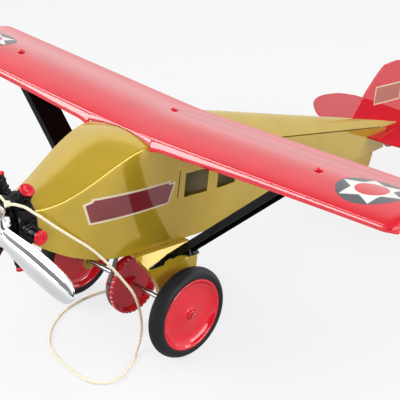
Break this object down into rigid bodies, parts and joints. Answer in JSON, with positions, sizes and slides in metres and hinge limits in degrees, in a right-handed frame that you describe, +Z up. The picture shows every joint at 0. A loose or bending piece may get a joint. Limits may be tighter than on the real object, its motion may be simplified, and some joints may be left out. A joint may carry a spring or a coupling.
{
  "type": "pull-along toy aeroplane",
  "caption": "Pressed-steel pull-along toy mail plane with red high wing, olive body, rubber-tyred disc wheels, a belt-driven chrome propeller and a cotton pull cord.",
  "frame": {"origin": "on the floor, midway between the main wheels and straight below their axle", "axes": "+X to the plane's left, +Y aft towards the tail, +Z up"},
  "size_m": [0.61, 0.6443, 0.224],
  "materials": {
    "olive_enamel": "glossy baked enamel, light wear at the folds",
    "red_enamel": "glossy baked enamel, small dings along the wing front",
    "black_enamel": "glossy black enamel",
    "bush_brass": "plain turned brass, dull",
    "bright_steel": "bright drawn steel with fine scratches",
    "chrome_plate": "mirror plate with hairline scratches",
    "black_rubber": "moulded rubber with fine rings, dusty",
    "grey_belt": "round extruded belt, matt grey",
    "cotton_cord": "soft cream twisted cotton"
  },
  "bodies": {
    "airframe": {"left_side_panel": "olive_enamel", "right_side_panel": "olive_enamel", "hood": "olive_enamel", "aft_deck": "olive_enamel", "belly_pan": "olive_enamel", "nose_plate": "olive_enamel", "crankcase": "black_enamel", "engine_barrels": "black_enamel", "barrel_caps": "red_enamel", "front_bush": "bush_brass", "rear_bracket": "bright_steel", "rear_bush": "bush_brass", "belt": "grey_belt", "wing": "red_enamel", "wing_screws": "red_enamel", "left_strut": "black_enamel", "right_strut": "black_enamel", "strut_rivets": "black_enamel", "left_leg": "olive_enamel", "right_leg": "olive_enamel", "leg_rivets": "bright_steel", "axle_bushes": "bush_brass", "tailplane": "red_enamel", "fin": "red_enamel", "tail_fork": "olive_enamel", "tail_pin": "bright_steel", "pull_cord": "cotton_cord", "cord_knots": "cotton_cord"},
    "wheel_set": {"axle": "bright_steel", "drive_pulley": "red_enamel", "left_wheel": "red_enamel", "right_wheel": "red_enamel", "left_tyre": "black_rubber", "right_tyre": "black_rubber", "wheel_spacers": "bright_steel"},
    "propeller_set": {"propeller": "chrome_plate", "prop_nut": "bright_steel", "prop_shaft": "bright_steel", "shaft_pulley": "bright_steel"},
    "tail_wheel_set": {"tail_wheel": "red_enamel", "tail_tyre": "black_rubber"}
  },
  "joints": [
    {"name": "wheels_turn", "type": "hinge", "parent": "airframe", "child": "wheel_set", "pos_m": [0, 0, 0.045], "axis": [1, 0, 0], "continuous": true},
    {"name": "propeller_turns", "type": "hinge", "parent": "airframe", "child": "propeller_set", "pos_m": [0, -0.00096, 0.14498], "axis": [0, 0.9914, -0.1305], "continuous": true},
    {"name": "tail_wheel_turns", "type": "hinge", "parent": "airframe", "child": "tail_wheel_set", "pos_m": [0, 0.34933, 0.017], "axis": [1, 0, 0], "continuous": true}
  ],
  "couplings": [
    {"joint": "propeller_turns", "follows": "wheels_turn", "ratio": 3}
  ]
}
